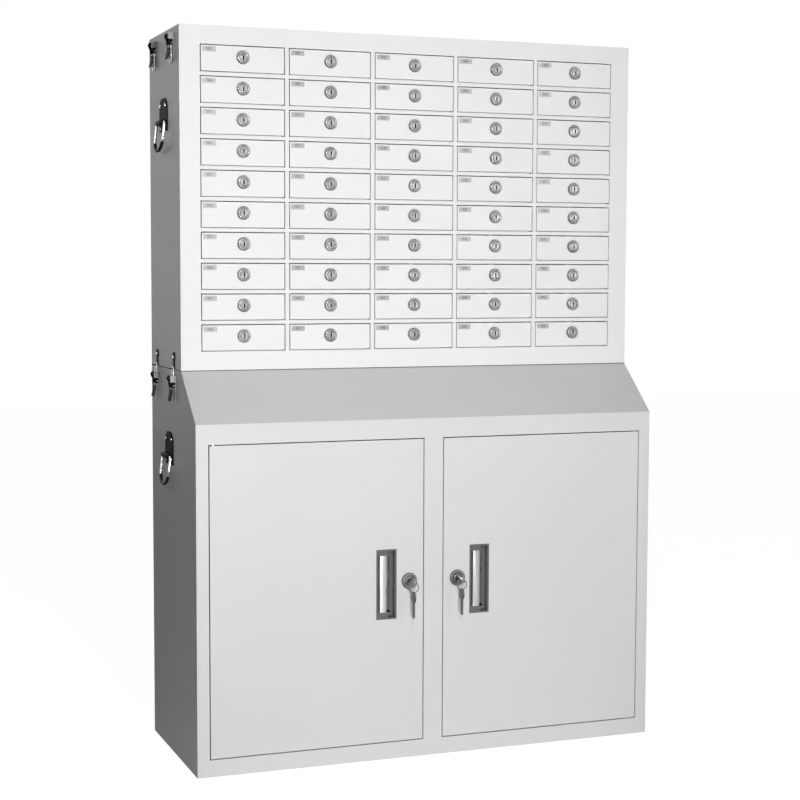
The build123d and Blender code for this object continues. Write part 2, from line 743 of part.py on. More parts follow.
def handle_bail(place):
    """The right side's wire bail, hanging down, with a grip sleeve on its bend."""
    y, z = place
    half = BAIL_SPAN / 2
    low = z - BAIL_DROP
    turn = BAIL_BOTTOM_BEND
    corners = [
        (bail_out, y - half + BAIL_STUB, z),
        (bail_out, y - half, z),
        (bail_out, y - half, low),
        (bail_out, y + half, low),
        (bail_out, y + half, z),
        (bail_out, y + half - BAIL_STUB, z),
    ]
    with BuildPart() as wire:
        with BuildLine() as path:
            FilletPolyline(*corners, radius=[BAIL_TOP_BEND, turn, turn, BAIL_TOP_BEND])
        with BuildSketch(along_y(*corners[0])):
            Circle(BAIL_WIRE)
        sweep()
    grip_path = [
        (bail_out, y - half, low + turn),
        (bail_out, y - half, low),
        (bail_out, y + half, low),
        (bail_out, y + half, low + turn),
    ]
    with BuildPart() as grip:
        with BuildLine() as bend:
            FilletPolyline(*grip_path, radius=[turn - GRIP_BEND_PLAY] * 2)
        with BuildSketch(Plane(origin=grip_path[0], z_dir=(0, 0, -1))):
            Circle(BAIL_WIRE + GRIP_WALL)
            Circle(BAIL_WIRE + RUNNING_CLEARANCE, mode=Mode.SUBTRACT)
        sweep()
        add(
            block(
                (bail_out - 2 * BAIL_WIRE, bail_out + 2 * BAIL_WIRE),
                (y - BAIL_SPAN, y + BAIL_SPAN),
                (low + GRIP_RISE, z),
            ),
            mode=Mode.SUBTRACT,
        )
    hinge = Axis((bail_out, y, z), (0, 1, 0))
    return [piece.part.rotate(hinge, -BAIL_LEAN) for piece in (wire, grip)]


# ---------------------------------------------------------------- draw latches
def latch_axis_z(edge):
    """Height of a latch's lever axis, from the top edge of the box that carries it."""
    return edge - LATCH_BELOW_EDGE


def latch_plate(y, edge):
    """The right side's base plate with two ears, and the rivet pins in them."""
    axis_z = latch_axis_z(edge)
    high = axis_z + LATCH_PLATE_ABOVE
    half = LATCH_PLATE_WIDTH / 2
    axis_x = half_width + LEVER_AXIS_OUT
    with BuildPart() as plate:
        add(
            block(
                (half_width, half_width + LATCH_PLATE_THICKNESS),
                (y - half, y + half),
                (high - LATCH_PLATE_LENGTH, high),
            )
        )
        for end in (-1, 1):
            outer, inner = y + end * half, y + end * (half - EAR_THICKNESS)
            ear_y = tuple(sorted((outer, inner)))
            add(
                block(
                    (half_width, axis_x + 2 * LEVER_PIN_RADIUS),
                    ear_y,
                    (high - EAR_HEIGHT, high),
                )
            )
            cheek = EAR_THICKNESS + LEVER_GAP + LEVER_SHEET
            pin_low = outer if end < 0 else outer - cheek
            with BuildSketch(along_y(axis_x, pin_low, axis_z)):
                Circle(LEVER_PIN_RADIUS)
            extrude(amount=cheek)
    return plate.part


def latch_strike(y, edge):
    """The catch above the seam: a plate with a round head, and a ledge for the loop."""
    bar_z = latch_axis_z(edge) - LOOP_AXIS_DOWN + LOOP_REACH
    ledge_high = bar_z - LOOP_WIRE - LEDGE_CLEAR
    ledge_low = ledge_high - LEDGE_THICKNESS
    head_z = ledge_low + STRIKE_LENGTH - STRIKE_HEAD_RADIUS
    half = STRIKE_WIDTH / 2
    with BuildPart() as strike:
        add(
            block(
                (half_width, half_width + LATCH_PLATE_THICKNESS),
                (y - half, y + half),
                (ledge_low, head_z),
            )
        )
        with BuildSketch(Plane(origin=(half_width, y, head_z), z_dir=(1, 0, 0))):
            Circle(STRIKE_HEAD_RADIUS)
        extrude(amount=LATCH_PLATE_THICKNESS)
        add(
            block(
                (half_width, half_width + LEDGE_OUT),
                (y - half, y + half),
                (ledge_low, ledge_high),
            )
        )
    head = Plane(origin=(half_width + LATCH_PLATE_THICKNESS, y, head_z), z_dir=(1, 0, 0))
    return [strike.part, rod(head, RIVET_RADIUS, RIVET_HEIGHT)]


def latch_lever(y, edge):
    """The right side's lever: a bent web with two cheeks that turn between the ears."""
    axis_z = latch_axis_z(edge)
    axis_x = half_width + LEVER_AXIS_OUT
    half = LATCH_PLATE_WIDTH / 2 - EAR_THICKNESS - LEVER_GAP
    outer = [(half_width + out, axis_z + up) for out, up in LEVER_PROFILE]
    inner = [(x - LEVER_SHEET, z) for x, z in reversed(outer)]
    with BuildPart() as lever:
        with BuildSketch(Plane.XZ.offset(-(y + half))):
            with BuildLine():
                Polyline(*outer, *inner, close=True)
            make_face()
        extrude(amount=2 * half)
        add(
            block(
                (half_width, half_width + LEVER_PROFILE[0][0]),
                (y - NOTCH_HALF, y + NOTCH_HALF),
                (axis_z - NOTCH_LOW, axis_z + LEVER_PROFILE[0][1]),
            ),
            mode=Mode.SUBTRACT,
        )
        # each cheek runs from round the lever's axis down past the loop's axis
        web_low_x = half_width + LEVER_PROFILE[1][0] - LEVER_SHEET
        loop_x = half_width + LOOP_AXIS_OUT
        inner_x = loop_x - CHEEK_BEHIND_LOOP
        cheek_outline = [
            (inner_x, axis_z - CHEEK_DROP),
            (web_low_x + CHEEK_HALF_WIDTH, axis_z - CHEEK_DROP),
            (axis_x + CHEEK_HALF_WIDTH, axis_z),
            (axis_x - CHEEK_RADIUS, axis_z),
            (inner_x, axis_z - LOOP_AXIS_DOWN + CHEEK_RISE),
        ]
        for start in (y - half, y + half - LEVER_SHEET):
            with BuildSketch(Plane.XZ.offset(-(start + LEVER_SHEET))):
                with BuildLine():
                    Polyline(*cheek_outline, close=True)
                make_face()
                with Locations((axis_x, axis_z)):
                    Circle(CHEEK_RADIUS)
            extrude(amount=LEVER_SHEET)
        for hole_x, hole_z, radius in (
            (axis_x, axis_z, LEVER_PIN_RADIUS),
            (loop_x, axis_z - LOOP_AXIS_DOWN, LOOP_WIRE),
        ):
            with BuildSketch(along_y(hole_x, y - half, hole_z)):
                Circle(radius + RUNNING_CLEARANCE)
            extrude(amount=2 * half, mode=Mode.SUBTRACT)
    return lever.part


def latch_loop(y, edge, hangs):
    """The right side's wire loop, standing up to its catch or hanging behind the lever."""
    z = latch_axis_z(edge) - LOOP_AXIS_DOWN
    x = half_width + LOOP_AXIS_OUT
    half = LOOP_SPAN / 2
    end_half = LATCH_PLATE_WIDTH / 2 - EAR_THICKNESS - LEVER_GAP
    far = z - LOOP_REACH if hangs else z + LOOP_REACH
    corners = [
        (x, y - end_half, z),
        (x, y - half, z),
        (x, y - half, far),
        (x, y + half, far),
        (x, y + half, z),
        (x, y + end_half, z),
    ]
    with BuildPart() as loop:
        with BuildLine():
            FilletPolyline(*corners, radius=LOOP_BEND)
        with BuildSketch(along_y(*corners[0])):
            Circle(LOOP_WIRE)
        sweep()
    return loop.part


# ---------------------------------------------------------------- the model
os.makedirs("parts", exist_ok=True)

write("base_shell", base_shell())
write("base_front_frame", base_front_frame())
write("base_sloped_top", base_sloped_top())
write("base_shelf", base_shelf())
write("door_pivot_pins", door_pivot_pins())
write("upper_shell", upper_shell())
write("upper_face_frame", upper_face_frame())
write("drawer_shelves", drawer_shelves())
write("drawer_dividers", drawer_dividers())

panel = door_panel()
lock_body = lock_barrel(
    lock_x,
    front,
    DOOR_LOCK_Z,
    DOOR_LOCK_HEAD_RADIUS,
    DOOR_LOCK_PROUD,
    DOOR_BARREL_LENGTH,
)
for side, turn in (("left", -1), ("right", 1)):
    which = 0 if turn < 0 else 1
    write(f"{side}_door_panel", [sides(piece)[which] for piece in panel])
    write(f"{side}_door_pull", door_pull(turn))
    write(f"{side}_door_lock", [sides(lock_body)[which]])
    write(f"{side}_door_key", [sides(piece)[which] for piece in door_key()])
    write(f"{side}_key_ring", [sides(piece)[which] for piece in key_ring()])

locked_boxes, locked_locks = [], []
for row in range(ROWS):
    for column in range(COLUMNS):
        box, lock = drawer(row, column, locked=row >= SLIDING_ROWS)
        if row < SLIDING_ROWS:
            write(f"drawer_row{row + 1}_column{column + 1}", box + lock)
        else:
            locked_boxes += box
            locked_locks += lock
write("locked_drawers", locked_boxes)
write("locked_drawer_locks", locked_locks)

plates = []
for level, place in (("upper", UPPER_HANDLE), ("lower", LOWER_HANDLE)):
    for piece in handle_plate(place):
        plates += sides(piece)
    bail = handle_bail(place)
    for which, side in enumerate(("left", "right")):
        write(f"{level}_{side}_handle_bail", [sides(piece)[which] for piece in bail])
write("carry_handle_plates", plates)

latch_plates, strikes = [], []
for y in LATCH_Y:
    for edge in (BASE_HEIGHT, top):
        latch_plates += sides(latch_plate(y, edge))
    for piece in latch_strike(y, BASE_HEIGHT):
        strikes += sides(piece)
write("latch_plates", latch_plates)
write("latch_strikes", strikes)

for which, side in enumerate(("left", "right")):
    for spot, y in zip(("front", "rear"), LATCH_Y):
        lever = sides(latch_lever(y, BASE_HEIGHT))[which]
        loop = sides(latch_loop(y, BASE_HEIGHT, hangs=False))[which]
        write(f"seam_{side}_{spot}_latch_lever", [lever])
        write(f"seam_{side}_{spot}_latch_loop", [loop])
    levers = [sides(latch_lever(y, top))[which] for y in LATCH_Y]
    loops = [sides(latch_loop(y, top, hangs=True))[which] for y in LATCH_Y]
    write(f"top_{side}_latch_levers", levers)
    write(f"top_{side}_latch_loops", loops)
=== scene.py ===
"""Phone locker: a box of small locking drawers on a deeper two-door base cabinet.

Lengths are metres. +X is to the right, +Y to the back, +Z up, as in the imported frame.
The operators dress the frame's nodes with their paints and metals, add the parts that
are too fine for the frame, and set the studio.
"""

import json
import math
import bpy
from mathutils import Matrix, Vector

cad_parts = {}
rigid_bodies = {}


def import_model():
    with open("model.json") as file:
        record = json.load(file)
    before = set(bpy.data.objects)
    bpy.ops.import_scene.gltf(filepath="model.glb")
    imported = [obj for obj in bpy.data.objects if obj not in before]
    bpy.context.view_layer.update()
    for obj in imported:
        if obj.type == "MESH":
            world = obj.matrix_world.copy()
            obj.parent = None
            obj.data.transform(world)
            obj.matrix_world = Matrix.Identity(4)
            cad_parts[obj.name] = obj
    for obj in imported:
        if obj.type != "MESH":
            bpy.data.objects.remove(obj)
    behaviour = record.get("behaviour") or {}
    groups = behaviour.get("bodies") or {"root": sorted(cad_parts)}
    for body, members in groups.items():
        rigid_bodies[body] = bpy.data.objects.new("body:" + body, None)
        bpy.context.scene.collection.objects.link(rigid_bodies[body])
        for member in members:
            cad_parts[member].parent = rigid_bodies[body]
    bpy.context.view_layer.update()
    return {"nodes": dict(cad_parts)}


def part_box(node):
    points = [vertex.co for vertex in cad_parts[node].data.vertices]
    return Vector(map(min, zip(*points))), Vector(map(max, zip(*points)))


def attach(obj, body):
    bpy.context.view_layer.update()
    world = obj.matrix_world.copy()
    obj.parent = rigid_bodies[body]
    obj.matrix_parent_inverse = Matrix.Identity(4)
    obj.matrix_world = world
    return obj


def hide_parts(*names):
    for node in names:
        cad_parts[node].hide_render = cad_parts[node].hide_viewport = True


bl_info = {
    "name": "Phone locker",
    "version": (1, 0, 0),
    "blender": (4, 5, 0),
    "location": "3D View > Sidebar > Locker",
    "description": "Dresses the phone locker and sets its studio",
    "category": "Object",
}

import bmesh
import bpy
import numpy as np
from bpy.props import FloatProperty, FloatVectorProperty, PointerProperty
from mathutils import Matrix, Vector

for leftover in list(bpy.data.objects):
    bpy.data.objects.remove(leftover)

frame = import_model()
NODES = frame["nodes"]

MM = 0.001
ROWS, COLUMNS, SLIDING_ROWS = 10, 5, 4

# places read from the frame
BASE_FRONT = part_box("base_front_frame")[0].y
UPPER_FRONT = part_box("upper_face_frame")[0].y
BASE_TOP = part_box("base_sloped_top")[1].z
HALF_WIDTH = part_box("base_shell")[1].x

# slack in choosing faces by their place
CLOSE = 0.1 * MM
TIGHT = 0.05 * MM

# drawers: where their faces lie, and where the trims and numbers go
DRAWER_FRONT_WIDTH = 155.2 * MM
DRAWER_FRONT_TOP = 47.1 * MM  # above the drawer's lowest point, its tray
DRAWER_TRAY_FROM = 8.0 * MM  # from the front's face to its tray
DRAWER_SIDE_SLACK = 1.0 * MM
DRAWER_REACH = 30.0 * MM  # up and down from the lock, past the whole drawer
DRAWER_LOCK_UP = 27.2 * MM
DRAWER_LOCK_HEAD = 12.0 * MM
DRAWER_LOCK_PROUD = 6.0 * MM
BARREL_RADIUS = 9.1 * MM
BARREL_FROM = 1.3 * MM  # behind the front's face
CAM_REACH = 28.0 * MM
CAM_BEHIND = 21.25 * MM
CAM_HALF = 1.4 * MM
KEYWAY_HALF = 1.3 * MM
KEYWAY_REACH = 4.6 * MM
KEYWAY_PROUD = 5.9 * MM
KEYWAY_BEHIND = 11.2 * MM
PLATE_SIZE = (25.0 * MM, 9.0 * MM)
PLATE_INSET = 2.5 * MM
PLATE_FROM_LOCK = 45.0 * MM
PLATE_FACE = 0.01 * MM
DIGIT_HEIGHT = 5.2 * MM
DIGIT_PROUD = 0.86 * MM
DIGIT_RELIEF = 0.08 * MM
CAPITAL = 0.72  # a digit's height as a share of its font's size

# turned trims of the locks: (radius, height above the head) in millimetres
DRAWER_LOCK_RIM = ((8.3, -0.05), (8.5, 0.4), (9.1, 0.6), (9.9, 0.45), (10.4, -0.05))
DRAWER_LOCK_RING = ((6.1, -0.05), (6.2, 0.25), (6.6, 0.3), (6.9, -0.05))
# a flat dark ring between the rim and the inner ring: painted shade for the dark inner edge
# of the lock's rim
DRAWER_LOCK_SHADE_RING = ((6.9, 0.03), (8.4, 0.03))
DOOR_LOCK_RIM = ((10.6, -0.05), (10.9, 0.5), (12.6, 0.7), (13.2, 0.4), (13.3, -0.05))
DOOR_LOCK_RING = ((6.3, -0.05), (6.5, 0.35), (7.3, 0.35), (7.6, -0.05))
DOOR_LOCK_PROUD = 4.0 * MM

# door pulls: the frame's plain bar and the pressed bar that stands for it
PULL_RIM = 3.4 * MM
PULL_END = 9.5 * MM
PLAIN_BAR_LEFT = 2.6 * MM
PLAIN_BAR_WIDTH = 17.0 * MM
PLAIN_BAR_DEPTH = 2.3 * MM
BAR_SHIFT = 1.4 * MM
BAR_TOP_GAP = 2.2 * MM
BAR_FOOT_GAP = 3.4 * MM
BAR_WIDTH = 19.5 * MM
BAR_SHEET = 1.6 * MM
BAR_STEPS = 25
BAR_CROWN = 0.6 * MM
BAR_CROWN_AT = 0.45  # share of the width where the bar stands furthest out
BAR_TURN_IN = 5.8 * MM
BAR_TURN_CURVE = 2.2
NOTCH_FROM = 0.66  # share of the width
NOTCH = 4.0 * MM
CREASE = 0.7  # radians
CAP_TOP = 2.6 * MM
CAP_FOOT = 3.8 * MM
CAP_PAST = 0.4 * MM
CAP_DEPTH = 4.5 * MM
CAP_ROUNDING = 0.3 * MM
# a black block at the bar's foot: painted shade in the recess's deep corner
SHADE_BLOCK_FROM = 0.68  # share of the width
SHADE_BLOCK_BACK = 0.3 * MM
SHADE_BLOCK_HEIGHT = 3.6 * MM

# key rings
RING_RADIUS = 9.3 * MM
RING_WIRE = 0.8 * MM

# carry handles and draw latches
BAIL_WIRE = 2.5 * MM
BAIL_AXIS_OUT = 6.0 * MM
BAIL_LEAN = math.radians(7.0)
BAIL_HALF = 32.0 * MM
BAIL_BEND = 27.0 * MM
BAIL_DROP = 52.0 * MM
GRIP_RISE = 15.0 * MM
GRIP_SKIN = 0.12 * MM  # a face this far off the wire is the grip's
GRIP_SLACK = 0.2 * MM
KNUCKLE_HALF = 6.0 * MM
HANDLE_RIVETS_FROM = 2.05 * MM  # out from the side
STRIKE_HEAD = 9.0 * MM
STRIKE_RIVET = 3.3 * MM
STRIKE_RIVET_FROM = 1.55 * MM

# dark strip between the boxes: a painted shadow line along the seam
SEAM_PROUD = 0.15 * MM
SEAM_DEPTH = 1.0 * MM
SEAM_FROM = 0.05 * MM
SEAM_HEIGHT = 1.5 * MM

# edge roundings, where they aren't the settings' own
TRIM_EDGE = 0.5 * MM
LOCK_EDGE = 0.4 * MM
SMALL_EDGE = 0.3 * MM
THIN_EDGE = 0.25 * MM
WELD_GAP = 0.01 * MM
FLAT_WITHIN = math.radians(0.5)
SHARP = 50  # degrees, on pieces with turned or bent faces

# studio: each lamp's setting, place, aim and size
LAMPS = (
    ("low", (-0.5, -3.1, 0.3), (0, -0.1, 0.6), 0.4),
    ("near", (-0.45, -1.6, 1.3), (0, -0.1, 1.1), 0.15),
    ("right", (1.6, -3.0, 1.2), (0, -0.1, 0.8), 1.2),
    ("back", (-2.0, 1.2, 1.8), (-0.45, 0.1, 1.2), 0.5),
    ("side", (-2.4, -0.6, 1.9), (-0.45, 0.1, 1.2), 0.6),
)
CAMERA_PLACE = (-1.1772, -3.1010, 0.9081)
CAMERA_TURN, CAMERA_DOWN, CAMERA_ROLL = -20.76, 4.4, 0.18  # degrees
SENSOR_WIDTH = 36.0  # millimetres
FLOOR_HALF = 8
FLOOR_DROP = 0.4 * MM
FLOOR_TONE, FLOOR_ROUGHNESS, FLOOR_GLOSS = 0.9, 0.7, 0.1
FLOOR_GLOW, FLOOR_GLOW_SHARE = 1.22, 0.8  # what the camera sees added, as on white paper


# ---------------------------------------------------------------- settings
class LockerFinish(bpy.types.PropertyGroup):
    """Colours and edge sizes of the locker."""

    # the base and its doors carry the same powder coat as the drawer box; this colour is
    # darker as painted shade, for the dimmer light on the base
    body_paint: FloatVectorProperty(
        name="Body paint",
        description="Powder coat on the cabinet and its doors",
        subtype="COLOR",
        size=3,
        min=0.0,
        max=1.0,
        default=(0.705, 0.705, 0.7),
    )
    # the same powder coat as the base; the base's colour is kept darker as painted shade
    upper_paint: FloatVectorProperty(
        name="Upper box paint",
        description="Powder coat on the drawer box, a shade lighter than the base",
        subtype="COLOR",
        size=3,
        min=0.0,
        max=1.0,
        default=(0.83, 0.83, 0.825),
    )
    drawer_paint: FloatVectorProperty(
        name="Drawer paint",
        description="Powder coat on the drawer fronts",
        subtype="COLOR",
        size=3,
        min=0.0,
        max=1.0,
        default=(0.84, 0.84, 0.835),
    )
    pull_colour: FloatVectorProperty(
        name="Pull tray",
        description="Moulded trays of the door pulls",
        subtype="COLOR",
        size=3,
        min=0.0,
        max=1.0,
        default=(0.155, 0.155, 0.155),
    )
    plate_colour: FloatVectorProperty(
        name="Number plate",
        description="Anodised number plates on the drawers",
        subtype="COLOR",
        size=3,
        min=0.0,
        max=1.0,
        default=(0.36, 0.36, 0.36),
    )
    sheet_edge: FloatProperty(
        name="Sheet edge",
        description="Rounding of folded sheet edges",
        unit="LENGTH",
        min=0.0,
        max=0.003,
        default=0.0007,
    )
    peel_size: FloatProperty(
        name="Orange peel",
        description="Size of the dimples in the powder coat",
        unit="LENGTH",
        min=0.0002,
        max=0.01,
        default=0.0012,
    )


class LockerStudio(bpy.types.PropertyGroup):
    """Lamps and camera."""

    low_power: FloatProperty(
        name="Low light",
        description="Power of the lamp low in front of the left edge",
        unit="POWER",
        min=0.0,
        default=39.0,
    )
    near_power: FloatProperty(
        name="Near light",
        description="Power of the small lamp close to the drawers",
        unit="POWER",
        min=0.0,
        default=9.5,
    )
    right_power: FloatProperty(
        name="Right light",
        description="Power of the lamp at the front right",
        unit="POWER",
        min=0.0,
        default=17.5,
    )
    back_power: FloatProperty(
        name="Back light",
        description="Power of the lamp behind and to the left",
        unit="POWER",
        min=0.0,
        default=2.5,
    )
    side_power: FloatProperty(
        name="Side light",
        description="Power of the lamp high on the left",
        unit="POWER",
        min=0.0,
        default=2.2,
    )
    ambient: FloatProperty(
        name="Ambient",
        description="Strength of the room's light",
        min=0.0,
        max=2.0,
        default=0.0,
    )
    lens: FloatProperty(
        name="Lens",
        description="Focal length of the camera in millimetres",
        min=10.0,
        max=300.0,
        default=77.27,
    )


# ---------------------------------------------------------------- materials
class Shader:
    """A material under construction: its node tree and its Principled shader."""

    def __init__(self, name):
        self.material = bpy.data.materials.new(name)
        self.material.use_nodes = True
        self.tree = self.material.node_tree
        self.principled = self.tree.nodes["Principled BSDF"]
        self.place = self.add("ShaderNodeTexCoord").outputs["Object"]

    def add(self, kind, **settings):
        node = self.tree.nodes.new(kind)
        for key, value in settings.items():
            setattr(node, key, value)
        return node

    def link(self, start, end):
        self.tree.links.new(start, end)

    def set(self, **values):
        for key, value in values.items():
            self.principled.inputs[key.replace("_", " ")].default_value = value

    def noise(self, size, detail=2.0, stretch=(1, 1, 1), roughness=0.5):
        """Noise whose features are about size metres across."""
        mapping = self.add("ShaderNodeMapping")
        mapping.inputs["Scale"].default_value = [s / size for s in stretch]
        noise = self.add("ShaderNodeTexNoise")
        noise.inputs["Scale"].default_value = 1.0
        noise.inputs["Detail"].default_value = detail
        noise.inputs["Roughness"].default_value = roughness
        self.link(self.place, mapping.inputs["Vector"])
        self.link(mapping.outputs["Vector"], noise.inputs["Vector"])
        return noise.outputs["Fac"]

    def ramp(self, factor, low, high, start=0.3, end=0.7):
        """A factor spread between two values."""
        spread = self.add("ShaderNodeMapRange")
        spread.inputs["From Min"].default_value = start
        spread.inputs["From Max"].default_value = end
        spread.inputs["To Min"].default_value = low
        spread.inputs["To Max"].default_value = high
        self.link(factor, spread.inputs["Value"])
        return spread.outputs["Result"]

    def tone(self, colour, change, **noise):
        """The base colour, moved by noise between change times darker and itself."""
        factor = self.ramp(self.noise(**noise), 0.0, 1.0)
        mix = self.add("ShaderNodeMix", data_type="RGBA")
        mix.inputs["A"].default_value = (*[c * (1 - change) for c in colour], 1)
        mix.inputs["B"].default_value = (*colour, 1)
        self.link(factor, mix.inputs["Factor"])
        self.link(mix.outputs["Result"], self.principled.inputs["Base Color"])

    def gloss(self, low, high, **noise):
        """The roughness, moved by noise between low and high."""
        factor = self.ramp(self.noise(**noise), low, high)
        self.link(factor, self.principled.inputs["Roughness"])

    def relief(self, depth, strength, before=None, **noise):
        """A bump of noise depth metres deep, over an earlier one if given."""
        bump = self.add("ShaderNodeBump")
        bump.inputs["Distance"].default_value = depth
        bump.inputs["Strength"].default_value = strength
        self.link(self.noise(**noise), bump.inputs["Height"])
        if before is not None:
            self.link(before, bump.inputs["Normal"])
        self.link(bump.outputs["Normal"], self.principled.inputs["Normal"])
        return bump.outputs["Normal"]


def powder_coat(name, colour, peel, roughness=0.42):
    """Semi-gloss powder coat: a fine orange peel and a faint unevenness of tone."""
    s = Shader(name)
    s.set(Metallic=0.0, IOR=1.5, Specular_IOR_Level=0.35)
    s.tone(colour, change=0.025, size=0.25, detail=3.0)
    s.gloss(roughness - 0.04, roughness + 0.05, size=0.03, detail=4.0)
    slow = s.relief(depth=0.00006, strength=0.5, size=peel * 9, detail=1.0)
    s.relief(depth=0.00003, strength=0.5, before=slow, size=peel, detail=2.0)
    return s.material


def bright_metal(name, tone, roughness, grain=0.0006, stretch=(1, 1, 1), marks=0.04):
    """Plated metal with fine handling marks."""
    s = Shader(name)
    s.set(Metallic=1.0)
    s.tone((tone, tone, tone * 1.005), change=marks, size=0.012, detail=4.0)
    s.gloss(roughness * 0.8, roughness * 1.5, size=0.004, detail=5.0, stretch=stretch)
    s.relief(depth=0.000012, strength=0.4, size=grain, detail=3.0, stretch=stretch)
    return s.material


def black_enamel(name, tone=0.005, roughness=0.5):
    """Black electro-coat on stamped steel."""
    s = Shader(name)
    s.set(Metallic=0.0, IOR=1.2, Specular_IOR_Level=0.2)
    s.tone((tone * 1.8, tone * 1.8, tone * 1.85), change=0.45, size=0.006, detail=5.0)
    s.gloss(roughness - 0.08, roughness + 0.14, size=0.003, detail=4.0)
    s.relief(depth=0.00002, strength=0.5, size=0.0008, detail=3.0)
    return s.material


def moulded_plastic(name, colour, roughness=0.45, grain=0.0007):
    """Moulded plastic with a fine spark-eroded grain."""
    s = Shader(name)
    s.set(Metallic=0.0, IOR=1.3, Specular_IOR_Level=0.3)
    s.tone(colour, change=0.08, size=0.02, detail=3.0)
    s.gloss(roughness - 0.05, roughness + 0.08, size=0.002, detail=3.0)
    s.relief(depth=0.00004, strength=0.6, size=grain, detail=2.0)
    return s.material


def galvanised(name):
    """Zinc-plated sheet of the drawers' trays."""
    s = Shader(name)
    s.set(Metallic=0.6)
    s.tone((0.62, 0.63, 0.63), change=0.12, size=0.008, detail=2.0, roughness=0.8)
    s.gloss(0.35, 0.5, size=0.01, detail=2.0)
    s.relief(depth=0.00002, strength=0.4, size=0.002, detail=2.0)
    return s.material


def anodised(name, colour):
    """Brushed and anodised aluminium of the number plates."""
    s = Shader(name)
    s.set(Metallic=0.5, Specular_IOR_Level=0.2)
    s.tone(colour, change=0.12, size=0.0006, detail=3.0, stretch=(0.05, 1, 1))
    s.gloss(0.3, 0.45, size=0.001, detail=3.0, stretch=(0.08, 1, 1))
    s.relief(depth=0.00001, strength=0.5, size=0.0003, detail=2.0, stretch=(0.05, 1, 1))
    return s.material


FINISHES = {}


def finish(name):
    """One of the locker's finishes, made when it is first asked for."""
    if name not in FINISHES:
        look = bpy.context.scene.locker_finish
        makers = {
            "body_paint": lambda: powder_coat(name, look.body_paint, look.peel_size),
            "upper_paint": lambda: powder_coat(name, look.upper_paint, look.peel_size),
            "drawer_paint": lambda: powder_coat(name, look.drawer_paint, look.peel_size),
            "tray_zinc": lambda: galvanised(name),
            "pull_tray": lambda: moulded_plastic(name, look.pull_colour, 0.42),
            "pull_bar": lambda: bright_metal(name, 0.97, 0.22, stretch=(1, 1, 0.05)),
            "lock_chrome": lambda: bright_metal(name, 0.31, 0.3, marks=0.35),
            "lock_rim": lambda: bright_metal(name, 0.42, 0.25, marks=0.35),
            # dark metal for the flat ring on the drawer locks: painted shade
            "lock_groove": lambda: bright_metal(name, 0.13, 0.4, marks=0.4),
            # black for the keyways' insides and for the block in the pulls' corners: painted
            # shade in hollows
            "keyway": lambda: black_enamel(name),
            # dark plastic for the strip at the seam: painted shadow line
            "joint_strip": lambda: moulded_plastic(name, (0.1, 0.1, 0.1), 0.5),
            "door_lock": lambda: bright_metal(name, 0.15, 0.35, marks=0.3),
            "door_lock_rim": lambda: bright_metal(name, 0.3, 0.3, marks=0.3),
            "key_nickel": lambda: bright_metal(name, 0.14, 0.35, stretch=(1, 1, 0.2)),
            "ring_nickel": lambda: bright_metal(name, 0.36, 0.25),
            "bow_nickel": lambda: bright_metal(name, 0.42, 0.3, marks=0.15),
            "latch_zinc": lambda: bright_metal(name, 0.2, 0.35, marks=0.2),
            "black_steel": lambda: black_enamel(name),
            "grip_black": lambda: moulded_plastic(name, (0.012, 0.012, 0.012), 0.4),
            "wire_chrome": lambda: bright_metal(name, 0.74, 0.14),
            "rivet_bright": lambda: bright_metal(name, 0.8, 0.16),
            "number_plate": lambda: anodised(name, look.plate_colour),
            "number_ink": lambda: black_enamel(name, 0.03),
        }
        FINISHES[name] = makers[name]()
    return FINISHES[name]


# ---------------------------------------------------------------- helpers
def paint(node, *names):
    """Gives a node its finishes; returns its object."""
    obj = NODES[node]
    obj.data.materials.clear()
    for name in names:
        obj.data.materials.append(finish(name))
    return obj


def centres(obj):
    """The middle of each face of a mesh, as rows of x, y, z."""
    found = np.zeros(len(obj.data.polygons) * 3)
    obj.data.polygons.foreach_get("center", found)
    return found.reshape(-1, 3)


def choose(obj, picked, index):
    """Gives the picked faces of a mesh one of its finishes."""
    current = np.zeros(len(obj.data.polygons), dtype=np.int32)
    obj.data.polygons.foreach_get("material_index", current)
    current[picked] = index
    obj.data.polygons.foreach_set("material_index", current)
    obj.data.update()


def soften(obj, width, segments=2, angle=40):
    """Rounds a node's sharp edges without touching its own mesh."""
    weld = obj.modifiers.new("joined faces", "WELD")
    weld.merge_threshold = WELD_GAP
    flat = obj.modifiers.new("flat faces", "DECIMATE")
    flat.decimate_type = "DISSOLVE"
    flat.angle_limit = FLAT_WITHIN
    bevel = obj.modifiers.new("rounded edges", "BEVEL")
    bevel.width = width
    bevel.segments = segments
    bevel.limit_method = "ANGLE"
    bevel.angle_limit = math.radians(angle)
    bevel.use_clamp_overlap = True
    bevel.harden_normals = True
    return obj


def lathe(profile, steps=48):
    """A mesh turned round the -Y axis from (radius, out) points in millimetres."""
    bm = bmesh.new()
    rings = []
    for radius, out in profile:
        ring = []
        for k in range(steps):
            a = 2 * math.pi * k / steps
            place = (radius * math.cos(a), -out, radius * math.sin(a))
            ring.append(bm.verts.new([MM * part for part in place]))
        rings.append(ring)
    for low, high in zip(rings, rings[1:]):
        for k in range(steps):
            m = (k + 1) % steps
            bm.faces.new((low[k], low[m], high[m], high[k]))
    bmesh.ops.recalc_face_normals(bm, faces=bm.faces)
    for face in bm.faces:
        face.smooth = True
    mesh = bpy.data.meshes.new("lathe")
    bm.to_mesh(mesh)
    bm.free()
    return mesh


